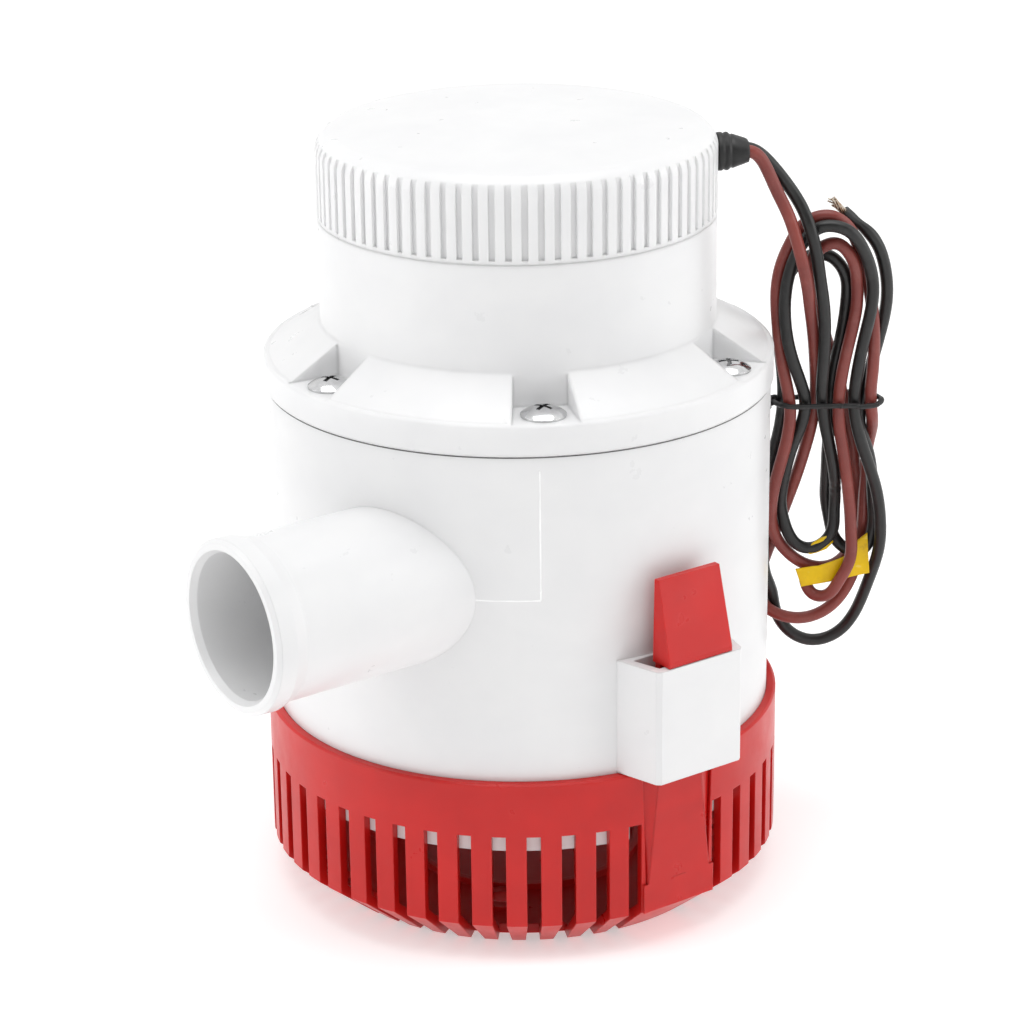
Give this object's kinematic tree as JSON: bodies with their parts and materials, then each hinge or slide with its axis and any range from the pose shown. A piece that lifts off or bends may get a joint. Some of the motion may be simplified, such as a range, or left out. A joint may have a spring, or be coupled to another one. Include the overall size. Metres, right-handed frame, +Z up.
{
  "type": "bilge pump",
  "caption": "Submersible electric bilge pump with slotted strainer base, release latches, side hose spigot, ribbed motor cap and a tied hank of power leads.",
  "frame": {"origin": "centre of the hull fixing holes, in the underside of the strainer base that stands on the hull", "axes": "+Z up along the motor shaft; -X along the hose spigot, towards its mouth; -Y towards one of the two release latches"},
  "size_m": [0.1856, 0.1392, 0.186],
  "materials": {
    "white_plastic": "satin moulded ABS",
    "red_plastic": "satin moulded ABS",
    "stainless": "bright stainless",
    "black_rubber": "matte",
    "grey_plastic": "moulded nylon",
    "brass": "plain",
    "steel": "ground",
    "zinc_steel": "zinc plated",
    "ferrite": "sintered ferrite",
    "aluminium": "die cast",
    "black_plastic": "moulded",
    "lamination": "stacked laminations",
    "copper": "enamelled copper",
    "carbon": "carbon",
    "red_insulation": "satin PVC",
    "black_insulation": "satin PVC",
    "tinned_copper": "bare stranded",
    "yellow_label": "vinyl"
  },
  "bodies": {
    "base": {"strainer_base": "red_plastic"},
    "latch_front": {"latch_finger_front": "red_plastic"},
    "latch_rear": {"latch_finger_rear": "red_plastic"},
    "pump": {"volute_housing": "white_plastic", "intake_plate": "white_plastic", "motor_housing": "white_plastic", "motor_cap": "white_plastic", "intake_screws": "stainless", "housing_screws": "stainless", "body_oring": "black_rubber", "cap_oring": "black_rubber", "shaft_seal": "black_rubber", "seal_retainer": "stainless", "motor_can": "zinc_steel", "magnets": "ferrite", "front_end_plate": "aluminium", "rear_end_bell": "black_plastic", "front_bearing": "steel", "rear_bearing": "steel", "brush_holders": "brass", "brushes": "carbon", "brush_springs": "steel", "terminals": "brass", "through_bolts": "zinc_steel", "cable_gland": "black_rubber", "lead_red": "red_insulation", "lead_black": "black_insulation", "lead_strands": "tinned_copper", "twist_tie": "black_insulation", "lead_tag": "yellow_label"},
    "rotor": {"motor_shaft": "steel", "impeller": "grey_plastic", "impeller_nut": "brass", "armature_core": "lamination", "armature_windings": "copper", "commutator": "copper"}
  },
  "joints": [
    {"name": "pump_lift", "type": "slide", "parent": "base", "child": "pump", "axis": [0, 0, 1], "range_m": [0, 0.08], "deforming": ["latch_finger_front", "latch_finger_rear", "lead_red", "lead_black"]},
    {"name": "latch_front_press", "type": "hinge", "parent": "base", "child": "latch_front", "pos_m": [0, -0.06085, 0.01745], "axis": [-1, 0, 0], "range_deg": [0, 2.55], "stiffness_Nm_per_rad": 1.5},
    {"name": "latch_rear_press", "type": "hinge", "parent": "base", "child": "latch_rear", "pos_m": [0, 0.06085, 0.01745], "axis": [1, 0, 0], "range_deg": [0, 2.55], "stiffness_Nm_per_rad": 1.5},
    {"name": "rotor_spin", "type": "hinge", "parent": "pump", "child": "rotor", "pos_m": [0, 0, 0.1], "axis": [0, 0, 1], "continuous": true}
  ]
}
